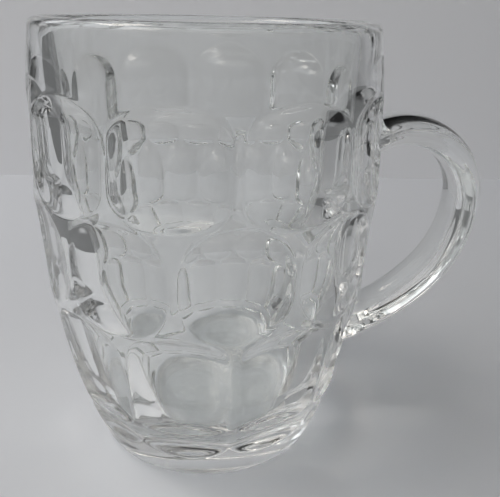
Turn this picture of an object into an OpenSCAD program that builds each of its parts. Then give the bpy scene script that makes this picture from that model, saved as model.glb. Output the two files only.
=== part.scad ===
// Dimpled glass beer mug: a thick pressed body with rows of hollows, and a strap handle fused to it.
// Lengths are in millimetres. The foot stands on z = 0 and the handle points along +X.

/* [Body] */
// Height of the mug from the table to the top of the rim
mug_h = 127; // [120:0.5:134]
// Greatest radius of the body, at the belly
belly_r = 50.1; // [49:0.1:52]
// Height of the belly above the table
belly_z = 86; // [82:1:90]
// Radius of the long upright curve of the side
side_curve_r = 270; // [240:5:330]
// Height at which the curve of the side gives way to the curve of the heel
heel_z = 36; // [32:1:40]
// Radius of the upright curve of the heel
heel_curve_r = 170; // [150:5:200]
// Radius of the rounded edge between the heel and the foot
foot_edge_r = 3; // [2:0.5:4]
// Width of the flat ring that the mug stands on
ring_w = 4; // [2.5:0.5:6]
// Height of the shallow hollow under the foot
under_h = 1.5; // [0.5:0.25:3]

/* [Inside] */
// Thickness of the glass at the rim, which is rounded right over
rim_t = 5; // [4.6:0.1:5.6]
// Lean of the straight upper part of the inner wall from upright, in degrees
inner_lean = 0.7; // [0.2:0.1:1]
// Height at which the inner wall starts to curve in towards the floor
inner_knee_z = 66; // [60:1:70]
// Radius of the inner wall's curve below that height
inner_curve_r = 140; // [125:5:180]
// Thickness of the glass under the inside floor
floor_t = 12.5; // [9:0.5:16]
// Radius of the rounded corner between the inner wall and the floor
floor_edge_r = 12; // [9:0.5:15]

/* [Hollows] */
// Number of hollows round the mug in each row
hollow_n = 10; // [9:1:11]
// Turn from the handle to the nearest hollow of the top row, in degrees
hollow_turn = 9; // [4:1:14]
// Radius of a hollow's curve across the mug
hollow_r = 60; // [54:1:75]
// Height of the middle of the top row of hollows
top_z = 96; // [95:0.5:97]
// Width of a hollow in the top row
top_w = 29; // [27:0.2:30]
// Height of a hollow in the top row
top_h = 28.7; // [27:0.1:29]
// Radius of the rounded upper and lower ends of a hollow in the top row
top_end_r = 12.5; // [11:0.5:15]
// Height of the middle of the second row of hollows
middle_z = 67.6; // [67:0.2:68.2]
// Width of a hollow in the second row
middle_w = 28.6; // [27:0.2:30]
// Height of a hollow in the second row
middle_h = 30.4; // [29:0.1:31]
// Radius of the rounded upper and lower ends of a hollow in the second row
middle_end_r = 24; // [20:1:28]
// Height of the middle of the third row of hollows
low_z = 36.9; // [36.6:0.1:37.2]
// Width of a hollow in the third row
low_w = 26.6; // [25:0.2:28]
// Height of a hollow in the third row
low_h = 33.4; // [33:0.1:33.8]
// Radius of the rounded upper end of a hollow in the third row
low_end_r = 11.5; // [10:0.5:14]
// Radius at its steep lower end, just above the ovals
low_foot_r = 1.5; // [1:0.25:3]
// Height of the middle of the small ovals round the base
oval_z = 14.9; // [14.4:0.1:15.4]
// Height of an oval
oval_h = 9.4; // [8:0.1:9.8]
// Depth of an oval at its middle
oval_depth = 1.9; // [1.2:0.1:2.1]

/* [Handle] */
// Width of the handle's strap
strap_w = 18.4; // [15:0.2:21]
// Thickness of the strap's flatter inner half, towards the fingers
strap_in_t = 4.2; // [3.5:0.1:5]
// Thickness of the strap's rounded outer half
strap_out_t = 4.7; // [4:0.1:5.2]
// Distance from the mug's axis to the middle of the handle's upper bend
bend_x = 57.3; // [56:0.1:59]
// Height of the middle of the handle's upper bend
bend_z = 77.1; // [76:0.1:79]
// Radius of the upper bend, where the strap's two halves meet
bend_r = 20.6; // [20:0.1:22]
// Radius of the lower bend, where the halves meet
lower_bend_r = 39; // [37:0.5:42]
// Radius of the handle's tail, where the halves meet
tail_r = 66; // [58:1:80]

/* [Hidden] */
$fn = 96;
// How far a cutting shape runs past what it cuts
overrun = 1;
// Angle from one hollow of a row to the next
pitch = 360 / hollow_n;
// Steps of the outlines: side, heel, rim, rounded corner, underside and end of a hollow
side_steps = 10;
heel_steps = 4;
rim_steps = 8;
corner_steps = 5;
under_steps = 3;
end_steps = 4;
// Steps of the strap: its section, upper bend, lower bend and tail
section_steps = 24;
bend_steps = 16;
lower_steps = 6;
tail_steps = 4;
// Angles at which the handle's upper bend, lower bend and tail end, in degrees from level
upper_end_turn = 140;
lower_end_turn = 43;
tail_end_turn = 80;
// Power of the section's inner and outer half: 2 is an ellipse, and a larger one is squarer
inner_power = 3;
outer_power = 2;

// The side is an arc about side_x, and the heel an arc that starts tangent to it at heel_z
side_x = belly_r - side_curve_r;
heel_turn = asin((belly_z - heel_z) / side_curve_r);
heel_x = side_x + (side_curve_r - heel_curve_r) * cos(heel_turn);
heel_mid_z = belly_z - (side_curve_r - heel_curve_r) * sin(heel_turn);
// The foot's rounded edge touches the heel's arc and the table
foot_x = heel_x + sqrt((heel_curve_r - foot_edge_r) ^ 2 - (heel_mid_z - foot_edge_r) ^ 2);
foot_turn = asin((heel_mid_z - foot_edge_r) / (heel_curve_r - foot_edge_r));
ring_in_r = foot_x - ring_w;
// The rim is a round of the glass's whole thickness that touches the side's arc
rim_r = rim_t / 2;
rim_z = mug_h - rim_r;
rim_x = side_x + sqrt((side_curve_r - rim_r) ^ 2 - (rim_z - belly_z) ^ 2);
rim_turn = asin((rim_z - belly_z) / (side_curve_r - rim_r));
mouth_r = rim_x - rim_r;
// The inner wall runs straight down to the knee, then along an arc to the floor's rounded corner
knee_r = mouth_r - (rim_z - inner_knee_z) * tan(inner_lean);
knee_x = knee_r - inner_curve_r;
corner_z = floor_t + floor_edge_r;
corner_x = knee_x + sqrt((inner_curve_r - floor_edge_r) ^ 2 - (inner_knee_z - corner_z) ^ 2);
corner_turn = asin((inner_knee_z - corner_z) / (inner_curve_r - floor_edge_r));

// Point at an angle below level on the circle of a given middle and radius
function arc_point(x, z, r, a) = [x + r * cos(a), z - r * sin(a)];
// Points at even steps along such a circle, without the first
function arc_points(x, z, r, from, to, steps) =
    [for (i = [1 : steps]) arc_point(x, z, r, from + (to - from) * i / steps)];

// Radius of the outside at a height, and its lean from upright there
function outer_r(z) = z > heel_z
    ? side_x + sqrt(side_curve_r ^ 2 - (belly_z - z) ^ 2)
    : heel_x + sqrt(heel_curve_r ^ 2 - (heel_mid_z - z) ^ 2);
function outer_lean(z) = z > heel_z
    ? asin((belly_z - z) / side_curve_r)
    : asin((heel_mid_z - z) / heel_curve_r);

// Outline of the outside, from the rim down to the table
function outer_points() = concat(
    arc_points(side_x, belly_z, side_curve_r, -rim_turn, heel_turn, side_steps),
    arc_points(heel_x, heel_mid_z, heel_curve_r, heel_turn, foot_turn, heel_steps),
    arc_points(foot_x, foot_edge_r, foot_edge_r, foot_turn, 90, corner_steps));
// Outline of the hollow under the foot, from the ring to the middle
function under_points() = [for (i = [0 : under_steps]) let (share = 1 - i / under_steps)
    [ring_in_r * share, under_h * (1 - share ^ 2)]];
// Outline of the inside, from the middle of the floor up to the mouth
function inner_points() = concat(
    [[0, floor_t]],
    [arc_point(corner_x, corner_z, floor_edge_r, 90)],
    arc_points(corner_x, corner_z, floor_edge_r, 90, corner_turn, corner_steps),
    arc_points(knee_x, inner_knee_z, inner_curve_r, corner_turn, 0, heel_steps));
// Outline of the rim, from the mouth over to the outside
function rim_points() = concat(
    [arc_point(rim_x, rim_z, rim_r, -180)],
    arc_points(rim_x, rim_z, rim_r, -180, -rim_turn, rim_steps));

// Outline of a stamp's end, from its straight middle on: an arc, which turns square at the most
function end_points(h, end_r, end_depth, reach) =
    let (end_z = h / 2 - sqrt(end_r ^ 2 - max(end_r - end_depth, 0) ^ 2),
        end_turn = acos(max(1 - reach / end_r, 0)))
    concat([[hollow_r, end_z]],
        arc_points(hollow_r - end_r, end_z, end_r, 0, -end_turn, end_steps));

// Outline of the curved stamp that presses a hollow: straight in the middle, with rounded ends
function stamp_points(h, end_r, foot_r, end_depth, reach) =
    let (upper = end_points(h, end_r, end_depth, reach),
        lower = end_points(h, foot_r, end_depth, reach))
    concat(
        [for (i = [end_steps : -1 : 0]) upper[i]],
        [for (i = [0 : end_steps]) [lower[i][0], -lower[i][1]]],
        [[hollow_r - reach - overrun, -lower[end_steps][1]]],
        [[hollow_r - reach - overrun, upper[end_steps][1]]]);

// Stamp that presses one hollow: a slab bent about an axis that stands outside the mug
module hollow_stamp(z, w, h, end_r, foot_r) {
    r = outer_r(z);
    // Distance from the mug's axis to the stamp's, which gives the hollow its width
    stamp_x = sqrt(r ^ 2 - (w / 2) ^ 2) + sqrt(hollow_r ^ 2 - (w / 2) ^ 2);
    depth = r + hollow_r - stamp_x;
    // Depth left at the hollow's ends, where the side's own curve falls away
    end_depth = depth - side_curve_r + sqrt(side_curve_r ^ 2 - (h / 2) ^ 2);
    // The stamp's sides stop halfway across the land between two hollows
    turn = asin(w / 2 / hollow_r) + asin(overrun / 2 / hollow_r);
    translate([r, 0, z])
        rotate([0, outer_lean(z), 0])
            translate([stamp_x - r, 0, 0])
                rotate_extrude(angle = 2 * turn, start = 180 - turn)
                    polygon(stamp_points(h, end_r, foot_r, end_depth, depth));
}

// Roller that presses one oval, lying level along the base
module oval_roller() {
    r = outer_r(oval_z);
    roller_r = ((oval_h / 2) ^ 2 + oval_depth ^ 2) / (2 * oval_depth);
    roller_l = 2 * r * sin(pitch / 2) + 2 * overrun;
    translate([r, 0, oval_z])
        rotate([0, outer_lean(oval_z), 0])
            translate([roller_r - oval_depth, 0, 0])
                rotate([90, 0, 0])
                    cylinder(r = roller_r, h = roller_l, center = true);
}

// The hollows of the top and third rows, in the given columns
module outer_rows(columns) {
    for (k = columns)
        rotate([0, 0, hollow_turn + k * pitch]) {
            hollow_stamp(top_z, top_w, top_h, top_end_r, top_end_r);
            hollow_stamp(low_z, low_w, low_h, low_end_r, low_foot_r);
        }
}

// The hollows of the second row, half a step aside, and the ovals, in the given columns
module between_rows(columns) {
    for (k = columns) {
        rotate([0, 0, hollow_turn + (k + 0.5) * pitch])
            hollow_stamp(middle_z, middle_w, middle_h, middle_end_r, middle_end_r);
        rotate([0, 0, hollow_turn + k * pitch])
            oval_roller();
    }
}

// A turned blank with the hollows of the given columns pressed into it
module pressed(columns) {
    difference() {
        difference() {
            rotate_extrude()
                children();
            outer_rows(columns);
        }
        between_rows(columns);
    }
}

// Section of the strap, with its thickness along x and its width along y
function section_points() = [for (i = [0 : section_steps - 1])
    let (a = 360 * i / section_steps, outside = cos(a) > 0,
        power = 2 / (outside ? outer_power : inner_power))
    [(outside ? strap_out_t : strap_in_t) * sign(cos(a)) * abs(cos(a)) ^ power,
     strap_w / 2 * sign(sin(a)) * abs(sin(a)) ^ power]];

// The section at an angle above level on a bend about x, z, with its thickness along the bend's radius
function strap_ring(x, z, r, a) = [for (p = section_points())
    [x + (r + p[0]) * cos(a), p[1], z + (r + p[0]) * sin(a)]];

// Sections along one bend of the strap, without the first
function strap_rings(x, z, r, from, to, steps) =
    [for (i = [1 : steps]) strap_ring(x, z, r, from + (to - from) * i / steps)];

// The whole strap, from inside the body's wall round to inside the body's wall
module strap() {
    lower_x = bend_x + bend_r - lower_bend_r;
    tail_x = lower_x + (lower_bend_r - tail_r) * cos(lower_end_turn);
    tail_z = bend_z - (lower_bend_r - tail_r) * sin(lower_end_turn);
    rings = concat(
        [strap_ring(bend_x, bend_z, bend_r, upper_end_turn)],
        strap_rings(bend_x, bend_z, bend_r, upper_end_turn, 0, bend_steps),
        strap_rings(lower_x, bend_z, lower_bend_r, 0, -lower_end_turn, lower_steps),
        strap_rings(tail_x, tail_z, tail_r, -lower_end_turn, -tail_end_turn, tail_steps));
    last = len(rings) - 1;
    n = section_steps;
    polyhedron(
        points = [for (ring = rings, point = ring) point],
        faces = concat(
            [[for (i = [n - 1 : -1 : 0]) i]],
            [[for (i = [0 : n - 1]) last * n + i]],
            [for (k = [0 : last - 1], i = [0 : n - 1])
                [k * n + i, k * n + (i + 1) % n, (k + 1) * n + (i + 1) % n, (k + 1) * n + i]]));
}

module glass_body() {
    color("gainsboro")
        pressed([0 : hollow_n - 1])
            polygon(concat(inner_points(), rim_points(), outer_points(), under_points()));
}

module handle() {
    color("lightgray")
        difference() {
            strap();
            pressed([-2 : 1])
                polygon(concat([[0, rim_z]], [rim_points()[rim_steps]], outer_points(), under_points()));
        }
}

glass_body();
handle();
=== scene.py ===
"""Dimpled glass beer mug: a pressed glass body and a strap handle fused to it, on a plain pale table."""

import math

import bmesh
import bpy
import numpy as np
from mathutils import Matrix, Vector


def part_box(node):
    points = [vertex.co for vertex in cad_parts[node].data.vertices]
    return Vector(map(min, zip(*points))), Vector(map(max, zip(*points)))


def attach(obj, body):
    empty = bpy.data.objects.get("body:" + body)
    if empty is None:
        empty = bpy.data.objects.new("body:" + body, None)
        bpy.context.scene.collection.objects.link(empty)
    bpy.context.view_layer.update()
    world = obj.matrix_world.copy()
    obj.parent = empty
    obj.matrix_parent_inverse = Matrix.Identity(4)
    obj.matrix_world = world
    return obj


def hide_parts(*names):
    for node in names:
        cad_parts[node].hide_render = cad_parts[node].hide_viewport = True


bl_info = {
    "name": "Dimpled glass beer mug",
    "version": (1, 0, 0),
    "blender": (4, 5, 0),
    "location": "View3D > Sidebar > Mug",
    "description": "Builds a dimpled glass beer mug and a plain studio stage round it",
    "category": "Add Mesh",
}

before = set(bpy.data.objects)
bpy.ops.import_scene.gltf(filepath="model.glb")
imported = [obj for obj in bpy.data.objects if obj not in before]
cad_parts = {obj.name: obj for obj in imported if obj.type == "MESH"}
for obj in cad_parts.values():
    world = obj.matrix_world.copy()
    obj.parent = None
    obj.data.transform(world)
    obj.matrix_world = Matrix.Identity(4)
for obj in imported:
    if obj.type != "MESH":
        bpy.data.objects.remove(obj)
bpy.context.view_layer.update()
BODY_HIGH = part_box("glass_body")[1]
HANDLE_LOW, HANDLE_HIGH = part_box("handle")
MM = 0.001
PI = math.pi
# Mesh rings along each stretch of the body, from under the foot over the rim to the inside floor
RINGS = {
    "under": 8, "foot": 8, "heel": 6, "ovals": 28, "feet": 40, "dimples": 200, "band": 12,
    "rim": 16, "straight": 24, "curve": 20, "corner": 16, "floor": 8,
}
# Mesh columns in half the pitch of the dimples, on the body and on the core that trims the strap
BODY_COLUMNS = 24
CORE_COLUMNS = 12
CORE_RINGS = 60
# Points round the strap, and rings along its upper bend, lower bend and tail
STRAP_POINTS = 96
STRAP_RINGS = (72, 36, 40)
# Steps that find where a ray meets a stamp, and the part of each step that is taken
MEET_STEPS = 9
MEET_PART = 0.6
# Points of the seam nearer than this are one
WELD = 0.002 * MM
# The soft lights, in metres: name, place, width, height, the looks' value for the power, and tint
LIGHTS = (
    ("window", (-0.88, 0, 0.9), 1.7, 0.62, "window_w", "fafdff"),
    ("lamp", (-0.6, 0, 1.1), 0.4, 0.4, "lamp_w", "fff6ec"),
    ("side light", (-0.62, -0.64, 0.85), 0.4, 0.4, "side_w", "fff6ec"),
    ("near light", (0, -0.88, 0.9), 1.7, 0.62, "near_w", "fffdf4"),
)


def length(name, description, default_mm):
    """A size in the sidebar, with its default given in millimetres."""
    return bpy.props.FloatProperty(
        name=name, description=description, default=default_mm * MM, unit="LENGTH", precision=5)


def angle(name, description, default_degrees):
    """An angle in the sidebar, with its default given in degrees."""
    return bpy.props.FloatProperty(
        name=name, description=description, default=math.radians(default_degrees), unit="ROTATION")


def share(name, description, default):
    """A plain number in the sidebar."""
    return bpy.props.FloatProperty(name=name, description=description, default=default, precision=4)


def colour(name, description, default_hex):
    """A colour in the sidebar, with its default given as an sRGB hex value."""
    return bpy.props.FloatVectorProperty(
        name=name, description=description, default=linear(default_hex), subtype="COLOR", size=3,
        min=0, max=1)


def linear(hex_value):
    """The linear red, green and blue of an sRGB hex value such as "d8dcda"."""
    shares = [int(hex_value[i:i + 2], 16) / 255 for i in (0, 2, 4)]
    return tuple(s / 12.92 if s <= 0.04045 else ((s + 0.055) / 1.055) ** 2.4 for s in shares)


class MUG_PG_outline(bpy.types.PropertyGroup):
    """Sizes of the body's outline, outside and inside."""
    height: bpy.props.FloatProperty(
        name="Height", description="Height of the mug from the table to the rim",
        default=BODY_HIGH.z, unit="LENGTH", precision=5)
    belly_r: length("Belly radius", "Greatest radius of the body", 50.1)
    belly_z: length("Belly height", "Height of the belly above the table", 86)
    side_r: length("Side curve", "Radius of the long upright curve of the side", 270)
    heel_z: length("Heel height", "Height at which the curve of the side gives way to the heel's", 36)
    heel_r: length("Heel curve", "Radius of the upright curve of the heel", 170)
    foot_edge_r: length("Foot edge", "Radius of the rounded edge between heel and foot", 3)
    ring_w: length("Foot ring", "Width of the ring that the mug stands on", 4)
    ring_edge_r: length("Foot ring edge", "Radius of the ring's softened inner edge", 1.2)
    under_h: length("Foot hollow", "Height of the shallow hollow under the foot", 1.5)
    rim_t: length("Rim thickness", "Thickness of the glass at the rim", 5)
    inner_lean: angle("Inner lean", "Lean of the straight upper part of the inner wall", 0.7)
    knee_z: length("Inner knee", "Height at which the inner wall starts to curve in", 66)
    inner_r: length("Inner curve", "Radius of the inner wall's curve below the knee", 140)
    floor_t: length("Floor thickness", "Thickness of the glass under the inside floor", 12.5)
    floor_edge_r: length("Floor corner", "Radius of the corner between inner wall and floor", 12)


class MUG_PG_dimples(bpy.types.PropertyGroup):
    """Sizes of the pressed dimples, row by row."""
    count: bpy.props.IntProperty(name="Count", description="Number of dimples in each row", default=10)
    turn: angle("Turn", "Angle from the handle to the nearest dimple of the top row", 9)
    across_r: length("Curve across", "Radius of a dimple's curve across the mug", 60)
    soft: length("Softness", "Length over which the edges of the dimples are softened", 0.16)
    top_z: length("Top row", "Height of the middle of the top row", 96)
    top_w: length("Top width", "Width of a dimple in the top row", 29)
    top_h: length("Top height", "Height of a dimple in the top row", 28.7)
    top_end_r: length("Top ends", "Radius of the rounded ends of a top dimple", 12.5)
    middle_z: length("Second row", "Height of the middle of the second row", 67.6)
    middle_w: length("Second width", "Width of a dimple in the second row", 28.6)
    middle_h: length("Second height", "Height of a dimple in the second row", 30.4)
    middle_end_r: length("Second ends", "Radius of the rounded ends of a second-row dimple", 24)
    low_z: length("Third row", "Height of the middle of the third row", 36.9)
    low_w: length("Third width", "Width of a dimple in the third row", 26.6)
    low_h: length("Third height", "Height of a dimple in the third row", 33.4)
    low_end_r: length("Third tops", "Radius of the rounded top of a third-row dimple", 11.5)
    low_foot_r: length("Third feet", "Radius at the steep foot of a third-row dimple", 1.5)
    foot_slope: share("Foot slope", "Steepness of the foot above its radius", 4)
    oval_z: length("Base ovals", "Height of the middle of the ovals round the base", 14.9)
    oval_h: length("Oval height", "Height of an oval", 9.4)
    oval_depth: length("Oval depth", "Depth of an oval at its middle", 1.9)


class MUG_PG_strap(bpy.types.PropertyGroup):
    """Sizes of the handle's strap."""
    width: bpy.props.FloatProperty(
        name="Width", description="Width of the strap",
        default=HANDLE_HIGH.y - HANDLE_LOW.y, unit="LENGTH", precision=5)
    inner_t: length("Inner half", "Thickness of the strap's flatter inner half", 4.2)
    outer_t: length("Outer half", "Thickness of the strap's rounded outer half", 4.7)
    inner_power: share("Inner squareness", "Power of the inner half's section: larger is squarer", 3)
    outer_power: share("Outer squareness", "Power of the outer half's section: 2 is an ellipse", 2)
    bend_x: length("Bend distance", "Distance from the mug's axis to the middle of the upper bend", 57.3)
    bend_z: length("Bend height", "Height of the middle of the upper bend", 77.1)
    bend_r: length("Upper bend", "Radius of the upper bend, where the strap's halves meet", 20.6)
    lower_r: length("Lower bend", "Radius of the lower bend, where the halves meet", 39)
    tail_r: length("Tail", "Radius of the tail, where the halves meet", 66)
    upper_end: angle("Upper end", "Angle above level at which the upper bend ends", 140)
    lower_end: angle("Lower bend's end", "Angle below level at which the lower bend ends", 43)
    tail_end: angle("Tail's end", "Angle below level at which the tail ends", 80)
    spread: share("Root spread", "Share by which the strap spreads where it is fused to the body", 0.1)
    spread_l: length("Spread length", "Length over which the strap spreads at its roots", 2.5)
    seat_t: length("Seat depth", "Glass left between the strap's hidden end and the inside of the mug", 1.5)


class MUG_PG_looks(bpy.types.PropertyGroup):
    """Colours of the glass and of the stage."""
    glass: colour("Glass", "Colour that light keeps as it passes the skin of the glass", "fcfdfc")
    table: colour("Table", "Colour of the table top", "dadde3")
    wall: colour("Wall", "Colour of the wall behind the table", "dedfe3")
    wave_h: length("Waves", "Height of the glass skin's long shallow waves", 0.03)
    table_far: length("Table's far edge", "Distance from the mug's axis to the table's far edge", 310)
    room_low: share("Room, low", "Brightness of the dim room at the height of the table", 0.15)
    room_pale: share("Room, near left", "Brightness of the pale part of the room on the near left", 0.55)
    window_w: share("Window", "Power of the broad soft light at the left", 5.6)
    lamp_w: share("Lamp", "Power of the small soft light high at the left, which casts the shadow", 3.3)
    side_w: share("Side light", "Power of the small soft light on the near left", 1.2)
    near_w: share("Near light", "Power of the broad soft light behind the camera", 2.6)


class Outline:
    """The body's outline, worked out once from its sizes."""

    def __init__(self, o):
        self.o = o
        self.side_x = o.belly_r - o.side_r
        self.heel_turn = math.asin((o.belly_z - o.heel_z) / o.side_r)
        self.heel_x = self.side_x + (o.side_r - o.heel_r) * math.cos(self.heel_turn)
        self.heel_mid_z = o.belly_z - (o.side_r - o.heel_r) * math.sin(self.heel_turn)
        reach = o.heel_r - o.foot_edge_r
        drop = self.heel_mid_z - o.foot_edge_r
        self.foot_x = self.heel_x + math.sqrt(reach ** 2 - drop ** 2)
        self.foot_turn = math.asin(drop / reach)
        self.rim_r = o.rim_t / 2
        self.rim_z = o.height - self.rim_r
        reach = o.side_r - self.rim_r
        rise = self.rim_z - o.belly_z
        self.rim_x = self.side_x + math.sqrt(reach ** 2 - rise ** 2)
        self.rim_turn = math.asin(rise / reach)
        self.knee_r = self.rim_x - self.rim_r - (self.rim_z - o.knee_z) * math.tan(o.inner_lean)
        self.knee_x = self.knee_r - o.inner_r
        self.corner_z = o.floor_t + o.floor_edge_r
        reach = o.inner_r - o.floor_edge_r
        drop = o.knee_z - self.corner_z
        self.corner_x = self.knee_x + math.sqrt(reach ** 2 - drop ** 2)
        self.corner_turn = math.asin(drop / reach)

    def outer_r(self, z):
        """Radius of the outside at a height, before the dimples are pressed."""
        side = self.side_x + np.sqrt(self.o.side_r ** 2 - (self.o.belly_z - z) ** 2)
        heel = self.heel_x + np.sqrt(self.o.heel_r ** 2 - (self.heel_mid_z - z) ** 2)
        return np.where(z > self.o.heel_z, side, heel)

    def outer_lean(self, z):
        """Lean of the outside from upright at a height."""
        if z > self.o.heel_z:
            return math.asin((self.o.belly_z - z) / self.o.side_r)
        return math.asin((self.heel_mid_z - z) / self.o.heel_r)

    def inner_r(self, z):
        """Radius of the inner wall at a height above the floor's corner."""
        straight = self.rim_x - self.rim_r - (self.rim_z - z) * math.tan(self.o.inner_lean)
        curved = self.knee_x + np.sqrt(self.o.inner_r ** 2 - np.minimum(z - self.o.knee_z, 0) ** 2)
        return np.where(z > self.o.knee_z, straight, curved)


def arc(x, z, r, start, end, steps):
    """Points (r, z) along an arc about x, z, at angles above level, with both its ends."""
    a = np.linspace(start, end, steps + 1)
    return np.stack([x + r * np.cos(a), z + r * np.sin(a)], axis=1)


def pressed_r(line, dimples, theta, z):
    """Radius of the outside with its dimples pressed in, at each height and angle."""
    theta = theta[None, :]
    z = z[:, None]
    plain = line.outer_r(z) + 0 * theta
    found = [plain]
    pitch = 2 * PI / dimples.count
    d = dimples
    rows = [
        (0, d.top_z, d.top_w, d.top_h, d.top_end_r, d.top_end_r),
        (0.5, d.middle_z, d.middle_w, d.middle_h, d.middle_end_r, d.middle_end_r),
        (0, d.low_z, d.low_w, d.low_h, d.low_end_r, d.low_foot_r),
    ]
    for shift, *sizes in rows:
        for side in (0, 1):
            turn = theta_from(theta, d.turn + shift * pitch, pitch, side)
            found.append(stamp_r(line, d, turn, z, plain, *sizes))
    for side in (0, 1):
        found.append(oval_r(line, d, theta_from(theta, d.turn, pitch, side), z, plain))
    stack = np.stack(found)
    low = stack.min(axis=0)
    return low - d.soft * np.log(np.exp((low - stack) / d.soft).sum(axis=0))


def theta_from(theta, first, pitch, side):
    """Angle from the nearest dimple of a row, or from the next nearest when side is 1."""
    near = (theta - first + pitch / 2) % pitch - pitch / 2
    return near if side == 0 else near - np.where(near > 0, pitch, -pitch)


def meet(line, turn, z, plain, row_z, target):
    """Radius at which the level ray at an angle meets a stamp, whose surface is target(y, v)."""
    at_r = float(line.outer_r(row_z))
    lean = line.outer_lean(row_z)
    r = plain.copy()
    for _ in range(MEET_STEPS):
        y = r * np.sin(turn)
        out = r * np.cos(turn) - at_r
        u = out * math.cos(lean) - (z - row_z) * math.sin(lean)
        v = out * math.sin(lean) + (z - row_z) * math.cos(lean)
        # A part of each step keeps the steep feet from overshooting
        r = r + MEET_PART * (target(y, v) - u) / (np.cos(turn) * math.cos(lean))
    return r


def stamp_r(line, d, turn, z, plain, row_z, w, h, end_r, foot_r):
    """Radius at which the level ray meets the bent stamp that presses one dimple."""
    at_r = float(line.outer_r(row_z))
    stamp_x = math.sqrt(at_r ** 2 - (w / 2) ** 2) + math.sqrt(d.across_r ** 2 - (w / 2) ** 2)
    side_r = line.o.side_r
    end_depth = at_r + d.across_r - stamp_x - side_r + math.sqrt(side_r ** 2 - (h / 2) ** 2)

    def target(y, v):
        r = np.where(v > 0, end_r, foot_r)
        beyond = np.abs(v) - h / 2 + np.sqrt(r ** 2 - np.maximum(r - end_depth, 0) ** 2)
        steep = r * d.foot_slope / math.hypot(1, d.foot_slope)
        curve_r = d.across_r - r + np.sqrt(r ** 2 - np.clip(beyond, 0, steep) ** 2)
        curve_r = curve_r - d.foot_slope * np.clip(beyond - steep, 0, end_depth)
        return stamp_x - at_r - np.sqrt(np.maximum(curve_r ** 2 - y ** 2, (at_r / 2) ** 2))

    return meet(line, turn, z, plain, row_z, target)


def oval_r(line, d, turn, z, plain):
    """Radius at which the level ray meets the roller that presses one oval."""
    roller_r = ((d.oval_h / 2) ** 2 + d.oval_depth ** 2) / (2 * d.oval_depth)

    def target(y, v):
        return roller_r - d.oval_depth - np.sqrt(np.maximum(roller_r ** 2 - v ** 2, 0))

    return meet(line, turn, z, plain, d.oval_z, target)


def columns(dimples, per_sector):
    """Angles of the body's columns, closest together along the ridges between the dimples."""
    sector = PI / dimples.count
    t = np.arange(2 * dimples.count * per_sector) / per_sector
    crowd = 0.5
    return dimples.turn + sector * (t - crowd * np.sin(2 * PI * t) / (2 * PI))


def turned(name, rings, low_pole, high_pole):
    """A closed mesh from level rings of equal length and a point at each end."""
    count, around = rings.shape[:2]
    points = np.concatenate([rings.reshape(-1, 3), [low_pole], [high_pole]])
    k = np.arange(around)
    after = (k + 1) % around
    faces = []
    for i in range(count - 1):
        low, high = i * around, (i + 1) * around
        faces.append(np.stack([low + k, low + after, high + after, high + k], axis=1))
    quads = np.concatenate(faces)
    low = len(points) - 2
    last = (count - 1) * around
    caps = np.concatenate([
        np.stack([after, k, np.full(around, low)], axis=1),
        np.stack([last + k, last + after, np.full(around, low + 1)], axis=1)])
    mesh = bpy.data.meshes.new(name)
    mesh.vertices.add(len(points))
    mesh.vertices.foreach_set("co", points.ravel())
    sizes = np.concatenate([np.full(len(quads), 4), np.full(len(caps), 3)])
    mesh.loops.add(int(sizes.sum()))
    mesh.loops.foreach_set("vertex_index", np.concatenate([quads.ravel(), caps.ravel()]))
    mesh.polygons.add(len(sizes))
    mesh.polygons.foreach_set("loop_start", np.concatenate([[0], np.cumsum(sizes)[:-1]]))
    mesh.update(calc_edges=True)
    mesh.polygons.foreach_set("use_smooth", np.ones(len(sizes), bool))
    mesh.validate()
    piece = bpy.data.objects.new(name, mesh)
    bpy.context.scene.collection.objects.link(piece)
    return piece


def level_rings(profile, theta):
    """Rings of the profile's (r, z) points, turned to each angle."""
    r = profile[:, 0][:, None]
    return np.stack([
        r * np.cos(theta)[None, :],
        r * np.sin(theta)[None, :],
        profile[:, 1][:, None] + 0 * theta[None, :]], axis=2)


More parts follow.
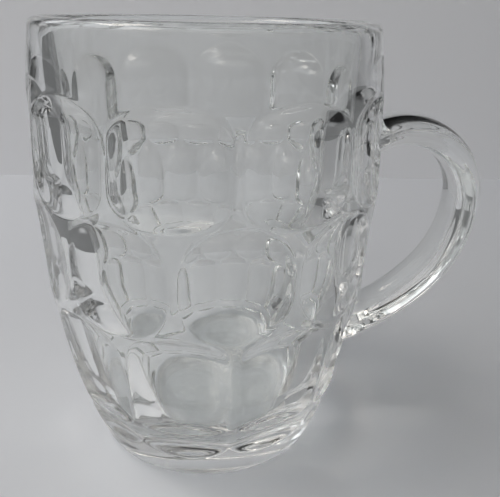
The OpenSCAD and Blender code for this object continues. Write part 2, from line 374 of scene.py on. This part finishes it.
def body_rings(line, dimples):
    """Rings of the whole body, from under the foot up over the rim and down to the inside floor."""
    o = line.o
    theta = columns(dimples, BODY_COLUMNS)
    ring_in = line.foot_x - o.ring_w
    # The first ring's share of the foot ring's radius, and how far past the middle of the ovals and of
    # the top row the closely spaced rings run, as shares of their heights
    nearest_pole = 0.04
    below_ovals, above_tops = 0.7, 0.6
    share_out = np.linspace(nearest_pole, 1, RINGS["under"])
    under = np.stack([ring_in * share_out, o.under_h * (1 - share_out ** 2)], axis=1)
    foot = arc(line.foot_x, o.foot_edge_r, o.foot_edge_r, -PI / 2, -line.foot_turn, RINGS["foot"])[:-1]
    low_z = o.foot_edge_r * (1 - math.sin(line.foot_turn))
    top_z = line.rim_z + line.rim_r * math.sin(line.rim_turn)
    pressed_low = dimples.oval_z - dimples.oval_h * below_ovals
    pressed_high = dimples.top_z + dimples.top_h * above_tops
    foot_low = dimples.low_z - dimples.low_h / 2 - 2 * dimples.low_foot_r
    foot_high = foot_low + 4 * dimples.low_foot_r
    z = np.concatenate([
        np.linspace(low_z, pressed_low, RINGS["heel"])[:-1],
        np.linspace(pressed_low, foot_low, RINGS["ovals"])[:-1],
        np.linspace(foot_low, foot_high, RINGS["feet"])[:-1],
        np.linspace(foot_high, pressed_high, RINGS["dimples"])[:-1],
        np.linspace(pressed_high, top_z, RINGS["band"])])
    radius = pressed_r(line, dimples, theta, z)
    wall = np.stack([
        radius * np.cos(theta)[None, :],
        radius * np.sin(theta)[None, :],
        z[:, None] + 0 * theta[None, :]], axis=2)
    rim = arc(line.rim_x, line.rim_z, line.rim_r, line.rim_turn, PI, RINGS["rim"])[1:]
    inner_z = np.linspace(line.rim_z, o.knee_z, RINGS["straight"])[1:]
    straight = np.stack([line.inner_r(inner_z), inner_z], axis=1)
    curve = arc(line.knee_x, o.knee_z, o.inner_r, 0, -line.corner_turn, RINGS["curve"])[1:]
    corner = arc(
        line.corner_x, line.corner_z, o.floor_edge_r, -line.corner_turn, -PI / 2, RINGS["corner"])[1:]
    # The last ring's share of the floor's radius
    last_ring = 0.05
    floor_r = np.linspace(line.corner_x, line.corner_x * last_ring, RINGS["floor"])[1:]
    floor = np.stack([floor_r, np.full(len(floor_r), o.floor_t)], axis=1)
    inside = np.concatenate([rim, straight, curve, corner, floor])
    return np.concatenate([
        level_rings(np.concatenate([under, foot]), theta), wall, level_rings(inside, theta)])


def strap_rings(line, s):
    """Rings along the strap, from inside the body's wall round to inside the body's wall."""
    a = 2 * PI * np.arange(STRAP_POINTS) / STRAP_POINTS
    out, across = np.cos(a), np.sin(a)
    power = 2 / np.where(out > 0, s.outer_power, s.inner_power)
    thick = np.where(out > 0, s.outer_t, s.inner_t) * np.sign(out) * np.abs(out) ** power
    wide = s.width / 2 * np.sign(across) * np.abs(across) ** power
    lower_x = s.bend_x + s.bend_r - s.lower_r
    tail_x = lower_x + (s.lower_r - s.tail_r) * math.cos(s.lower_end)
    tail_z = s.bend_z - (s.lower_r - s.tail_r) * math.sin(s.lower_end)
    bends = [
        (s.bend_x, s.bend_z, s.bend_r, s.upper_end, 0),
        (lower_x, s.bend_z, s.lower_r, 0, -s.lower_end),
        (tail_x, tail_z, s.tail_r, -s.lower_end, -s.tail_end),
    ]
    rings = []
    for (x, z, r, start, end), steps in zip(bends, STRAP_RINGS):
        for turn in np.linspace(start, end, steps + 1)[(1 if rings else 0):]:
            middle = x + r * math.cos(turn)
            gap = max(middle - float(line.outer_r(np.array(z + r * math.sin(turn)))), 0)
            grow = 1 + s.spread * math.exp(-gap / s.spread_l)
            reach = r + thick * grow
            rings.append(np.stack(
                [x + reach * math.cos(turn), -wide * grow, z + reach * math.sin(turn)], axis=1))
    return np.stack(rings)


def with_boolean(piece, other, operation):
    """The piece with another solid joined to it or cut from it; the other is removed."""
    step = piece.modifiers.new(operation, "BOOLEAN")
    step.operation = operation
    step.object = other
    step.solver = "MANIFOLD"
    bpy.context.view_layer.update()
    done = bpy.data.meshes.new_from_object(piece.evaluated_get(bpy.context.evaluated_depsgraph_get()))
    piece.modifiers.remove(step)
    piece.data = done
    bpy.data.objects.remove(other)
    return piece


def mark(piece, value):
    """Marks every face of the piece, so that its faces are known after joining."""
    faces = piece.data.attributes.new("made_from", "INT", "FACE")
    faces.data.foreach_set("value", np.full(len(piece.data.polygons), value, np.int32))


def add_node(tree, kind, links=(), **settings):
    """Adds a node with its settings and links, each link an input's name and an output socket."""
    node = tree.nodes.new(kind)
    for name, value in settings.items():
        if name in node.inputs:
            node.inputs[name].default_value = value
        else:
            setattr(node, name, value)
    for name, source in links:
        tree.links.new(source, node.inputs[name])
    return node


def pressed_glass(looks):
    """Pressed soda-lime glass, fire-polished.

    The flame leaves a smooth, mirror-like skin, so the eye sees what is behind it bent rather than
    blurred. The mould leaves long, shallow waves that make straight lines in it swim a little, and
    the ring that the mug stands on is scuffed dull by tables.
    """
    # Lengths of the waves and scuffs, and the heights between which the scuffs' roughness fades out
    wave_l, scuff_l = 14 * MM, 1.2 * MM
    scuffed_z, clean_z, scuff_rough = 0.1 * MM, 0.5 * MM, 0.5
    material = bpy.data.materials.new("pressed soda-lime glass")
    material.use_nodes = True
    tree = material.node_tree
    tree.nodes.clear()
    place = add_node(tree, "ShaderNodeTexCoord").outputs["Object"]
    waves = add_node(
        tree, "ShaderNodeTexNoise", [("Vector", place)], Scale=1 / wave_l, Detail=1.0, Roughness=0.4)
    skin = add_node(
        tree, "ShaderNodeBump", [("Height", waves.outputs[0])], Strength=1.0, Distance=looks.wave_h)
    height = add_node(tree, "ShaderNodeSeparateXYZ", [("Vector", place)])
    scuffs = add_node(
        tree, "ShaderNodeTexNoise", [("Vector", place)], Scale=1 / scuff_l, Detail=3.0)
    low = fade(tree, height.outputs["Z"], scuffed_z, clean_z, scuff_rough, 0)
    dull = add_node(tree, "ShaderNodeMath", [(0, low), (1, scuffs.outputs[0])], operation="MULTIPLY")
    glass = add_node(
        tree, "ShaderNodeBsdfPrincipled",
        [("Normal", skin.outputs[0]), ("Roughness", dull.outputs[0])],
        **{"Base Color": (*looks.glass, 1), "IOR": 1.52, "Transmission Weight": 1.0})
    add_node(tree, "ShaderNodeOutputMaterial", [("Surface", glass.outputs[0])])
    return material


def fused_seam():
    """The place where handle and body were fused hot: nothing is left there for the eye to see."""
    material = bpy.data.materials.new("fused glass seam")
    material.use_nodes = True
    tree = material.node_tree
    tree.nodes.clear()
    clear = add_node(tree, "ShaderNodeBsdfTransparent")
    add_node(tree, "ShaderNodeOutputMaterial", [("Surface", clear.outputs[0])])
    return material


def painted(name, rgb, grain_mm, relief_mm, rough):
    """Painted board, whose faint grain keeps it from looking like a flat colour.

    A satin table top mirrors the wall softly towards its far edge; a matt wall has hardly any gloss.
    """
    material = bpy.data.materials.new(name)
    material.use_nodes = True
    tree = material.node_tree
    tree.nodes.clear()
    place = add_node(tree, "ShaderNodeTexCoord").outputs["Object"]
    grain = add_node(
        tree, "ShaderNodeTexNoise", [("Vector", place)], Scale=1 / (grain_mm * MM), Detail=4.0)
    skin = add_node(
        tree, "ShaderNodeBump", [("Height", grain.outputs[0])], Strength=0.3, Distance=relief_mm * MM)
    paint = add_node(
        tree, "ShaderNodeBsdfPrincipled", [("Normal", skin.outputs[0])],
        **{"Base Color": (*rgb, 1), "Roughness": rough, "IOR": 1.5})
    add_node(tree, "ShaderNodeOutputMaterial", [("Surface", paint.outputs[0])])
    return material


def sheet(name, corners, material):
    """A flat piece of the stage from its four corners."""
    mesh = bpy.data.meshes.new(name)
    mesh.from_pydata(corners, [], [tuple(range(len(corners)))])
    mesh.materials.append(material)
    piece = bpy.data.objects.new(name, mesh)
    bpy.context.scene.collection.objects.link(piece)
    return piece


def soft_light(name, place, target, width, height, power, tint):
    """A rectangular soft light that looks at a point."""
    data = bpy.data.lights.new(name, "AREA")
    data.shape = "RECTANGLE"
    data.size, data.size_y = width, height
    data.energy = power
    data.color = linear(tint)
    light = bpy.data.objects.new(name, data)
    aim = (Vector(target) - Vector(place)).to_track_quat("-Z", "Y").to_matrix().to_4x4()
    light.matrix_world = Matrix.Translation(place) @ aim
    bpy.context.scene.collection.objects.link(light)
    return light


class MUG_OT_body(bpy.types.Operator):
    """Builds the barrel-shaped body with its pressed dimples"""
    bl_idname = "mug.body"
    bl_label = "Build the glass body"

    def execute(self, context):
        scene = context.scene
        line = Outline(scene.mug_outline)
        rings = body_rings(line, scene.mug_dimples)
        under, floor = (0, 0, line.o.under_h), (0, 0, line.o.floor_t)
        body = turned("mug_body", rings, under, floor)
        body.data.materials.append(pressed_glass(scene.mug_looks))
        body.data.materials.append(fused_seam())
        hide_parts("glass_body")
        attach(body, "root")
        return {"FINISHED"}


class MUG_OT_handle(bpy.types.Operator):
    """Builds the strap handle and fuses it to the body"""
    bl_idname = "mug.handle"
    bl_label = "Build the strap handle"

    def execute(self, context):
        scene = context.scene
        line = Outline(scene.mug_outline)
        body = bpy.data.objects["mug_body"]
        rings = strap_rings(line, scene.mug_strap)
        handle = turned("mug_handle", rings, rings[0].mean(axis=0), rings[-1].mean(axis=0))
        hollow = core(line, scene.mug_strap.seat_t)
        for piece in (handle, hollow):
            for material in body.data.materials:
                piece.data.materials.append(material)
        fuse(body, handle, hollow)
        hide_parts("handle")
        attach(handle, "root")
        return {"FINISHED"}


class MUG_OT_stage(bpy.types.Operator):
    """Sets the pale table, the wall behind it, the soft studio light and the camera"""
    bl_idname = "mug.stage"
    bl_label = "Set the stage"

    def execute(self, context):
        scene = context.scene
        looks = scene.mug_looks
        table = painted(
            "satin painted table top", looks.table, grain_mm=0.8, relief_mm=0.02, rough=0.35)
        wall = painted("matt painted wall", looks.wall, grain_mm=2.0, relief_mm=0.05, rough=0.8)
        left, right, near, far, high, under = -0.3, 0.4, -0.32, looks.table_far, 0.3, -0.05 * MM
        back_left, back_right = (left, far, under), (right, far, under)
        sheet("table", [(left, near, under), (right, near, under), back_right, back_left], table)
        sheet("wall", [back_left, back_right, (right, far, high), (left, far, high)], wall)
        middle = (0, 0, 0.06)
        for name, place, width, height, power, tint in LIGHTS:
            soft_light(name, place, middle, width, height, getattr(looks, power), tint)
        room(scene)
        photo_camera(scene)
        scene.view_settings.view_transform = "Standard"
        scene.cycles.max_bounces = 32
        scene.cycles.transmission_bounces = 28
        scene.cycles.transparent_max_bounces = 16
        scene.cycles.glossy_bounces = 12
        scene.cycles.diffuse_bounces = 4
        scene.cycles.sample_clamp_indirect = 20
        # Without this the table under the mug stays dark, because its light comes through the glass
        scene.cycles.blur_glossy = 0
        scene.cycles.use_denoising = True
        scene.cycles.seed = 1
        return {"FINISHED"}


def core(line, seat_t):
    """A solid of the mug's hollow made larger by the seat's depth; it trims the strap's hidden ends."""
    o = line.o
    theta = columns(bpy.context.scene.mug_dimples, CORE_COLUMNS)
    z = np.linspace(line.corner_z, o.height - o.rim_t, CORE_RINGS)
    profile = np.stack([line.inner_r(z) + seat_t, z], axis=1)
    return turned("core", level_rings(profile, theta), (0, 0, z[0]), (0, 0, z[-1]))


def fuse(body, handle, hollow):
    """Cuts the strap at the body's outside and marks on both the seam that they share."""
    with_boolean(handle, hollow, "DIFFERENCE")
    mark(body, 0)
    mark(handle, 1)
    joined = body.copy()
    joined.data = body.data.copy()
    strap = handle.copy()
    strap.data = handle.data.copy()
    outside = body.copy()
    outside.data = body.data.copy()
    for piece in (joined, strap, outside):
        bpy.context.scene.collection.objects.link(piece)
    with_boolean(joined, strap, "UNION")
    with_boolean(handle, outside, "DIFFERENCE")
    work = bmesh.new()
    work.from_mesh(joined.data)
    layer = work.faces.layers.int["made_from"]
    bmesh.ops.delete(work, geom=[f for f in work.faces if f[layer] != 0], context="FACES")
    patch = bmesh.new()
    patch.from_mesh(handle.data)
    layer = patch.faces.layers.int["made_from"]
    for face in patch.faces:
        face.material_index = 1 if face[layer] == 0 else 0
    seam_edges = [e for e in patch.edges if len({f.material_index for f in e.link_faces}) == 2]
    for edge in seam_edges:
        edge.smooth = False
    patch.to_mesh(handle.data)
    bmesh.ops.delete(patch, geom=[f for f in patch.faces if f.material_index == 0], context="FACES")
    bmesh.ops.reverse_faces(patch, faces=patch.faces)
    spare = bpy.data.meshes.new("seam")
    patch.to_mesh(spare)
    work.from_mesh(spare)
    bmesh.ops.remove_doubles(work, verts=work.verts, dist=WELD)
    work.to_mesh(body.data)
    work.free()
    patch.free()
    bpy.data.meshes.remove(spare)
    bpy.data.objects.remove(joined)
    for piece in (body, handle):
        piece.data.attributes.remove(piece.data.attributes["made_from"])


def room(scene):
    """The room's light: dim at the height of the table, pale on the near left, dark overhead."""
    looks = scene.mug_looks
    # Directions as shares of one: X plus Y is low on the near left, and Z is the height
    left_near, middle = -0.7, 0
    table_high, pale_low, pale_high, dark_low = 0.1, 0.2, 0.5, 0.65
    world = bpy.data.worlds.new("room")
    scene.world = world
    world.use_nodes = True
    tree = world.node_tree
    tree.nodes.clear()
    way = add_node(tree, "ShaderNodeTexCoord").outputs["Generated"]
    parts = add_node(tree, "ShaderNodeSeparateXYZ", [("Vector", way)])
    far_right = add_node(
        tree, "ShaderNodeMath", [(0, parts.outputs["X"]), (1, parts.outputs["Y"])], operation="ADD")
    side = fade(tree, far_right.outputs[0], left_near, middle, looks.room_pale, 0)
    rise = fade(tree, parts.outputs["Z"], table_high, pale_low, 0, 1)
    fall = fade(tree, parts.outputs["Z"], pale_high, dark_low, 1, 0)
    low = fade(tree, parts.outputs["Z"], table_high, pale_low, looks.room_low, 0)
    band = add_node(tree, "ShaderNodeMath", [(0, rise), (1, fall)], operation="MULTIPLY")
    pale = add_node(tree, "ShaderNodeMath", [(0, side), (1, band.outputs[0])], operation="MULTIPLY")
    both = add_node(tree, "ShaderNodeMath", [(0, pale.outputs[0]), (1, low)], operation="ADD")
    back = add_node(
        tree, "ShaderNodeBackground", [("Strength", both.outputs[0])], Color=(*linear("f6f8fa"), 1))
    add_node(tree, "ShaderNodeOutputWorld", [("Surface", back.outputs[0])])


def fade(tree, source, start, end, first, last):
    """A value that goes from first to last while its source goes from start to end."""
    node = add_node(
        tree, "ShaderNodeMapRange", [("Value", source)],
        **{"From Min": start, "From Max": end, "To Min": first, "To Max": last})
    return node.outputs[0]


def photo_camera(scene):
    """The camera, where the photograph's shapes place it."""
    sensor_mm, lens_mm, nearest = 36, 44.29, 0.01
    yaw_degrees, pitch_degrees, roll_degrees = 3.12, 21.53, 1.33
    place = Vector((3.14 * MM, -179.97 * MM, 130.33 * MM))
    data = bpy.data.cameras.new("camera")
    data.sensor_fit = "HORIZONTAL"
    data.sensor_width = sensor_mm
    data.lens = lens_mm
    data.clip_start = nearest
    camera = bpy.data.objects.new("camera", data)
    scene.collection.objects.link(camera)
    scene.camera = camera
    yaw, pitch, roll = (math.radians(a) for a in (yaw_degrees, pitch_degrees, roll_degrees))
    ahead = Vector((math.sin(yaw) * math.cos(pitch), math.cos(yaw) * math.cos(pitch), -math.sin(pitch)))
    level = Vector((math.cos(yaw), -math.sin(yaw), 0))
    up = level.cross(ahead)
    right = math.cos(roll) * level + math.sin(roll) * up
    above = -math.sin(roll) * level + math.cos(roll) * up
    turn = Matrix((right, above, -ahead)).transposed().to_4x4()
    camera.matrix_world = Matrix.Translation(place) @ turn


class MUG_PT_panel(bpy.types.Panel):
    """Lists the mug's sizes, its colours and its steps"""
    bl_idname = "MUG_PT_panel"
    bl_label = "Dimpled glass beer mug"
    bl_space_type = "VIEW_3D"
    bl_region_type = "UI"
    bl_category = "Mug"

    def draw(self, context):
        for group in GROUPS:
            box = self.layout.box()
            box.label(text=group)
            holder = getattr(context.scene, group)
            for name in holder.bl_rna.properties.keys():
                if name not in ("rna_type", "name"):
                    box.prop(holder, name)
        for operator in OPERATORS:
            self.layout.operator(operator.bl_idname)


GROUPS = {
    "mug_outline": MUG_PG_outline,
    "mug_dimples": MUG_PG_dimples,
    "mug_strap": MUG_PG_strap,
    "mug_looks": MUG_PG_looks,
}
OPERATORS = (MUG_OT_body, MUG_OT_handle, MUG_OT_stage)


def register():
    for item in (*GROUPS.values(), *OPERATORS, MUG_PT_panel):
        bpy.utils.register_class(item)
    for name, group in GROUPS.items():
        setattr(bpy.types.Scene, name, bpy.props.PointerProperty(type=group))


def unregister():
    for name in GROUPS:
        delattr(bpy.types.Scene, name)
    for item in reversed((*GROUPS.values(), *OPERATORS, MUG_PT_panel)):
        bpy.utils.unregister_class(item)


def plain(box):
    """A box's corners as plain lists of numbers."""
    return [[float(c) for c in corner] for corner in box]


def main():
    register()
    bpy.ops.mug.body()
    bpy.ops.mug.handle()
    bpy.ops.mug.stage()


if __name__ == "__main__":
    main()
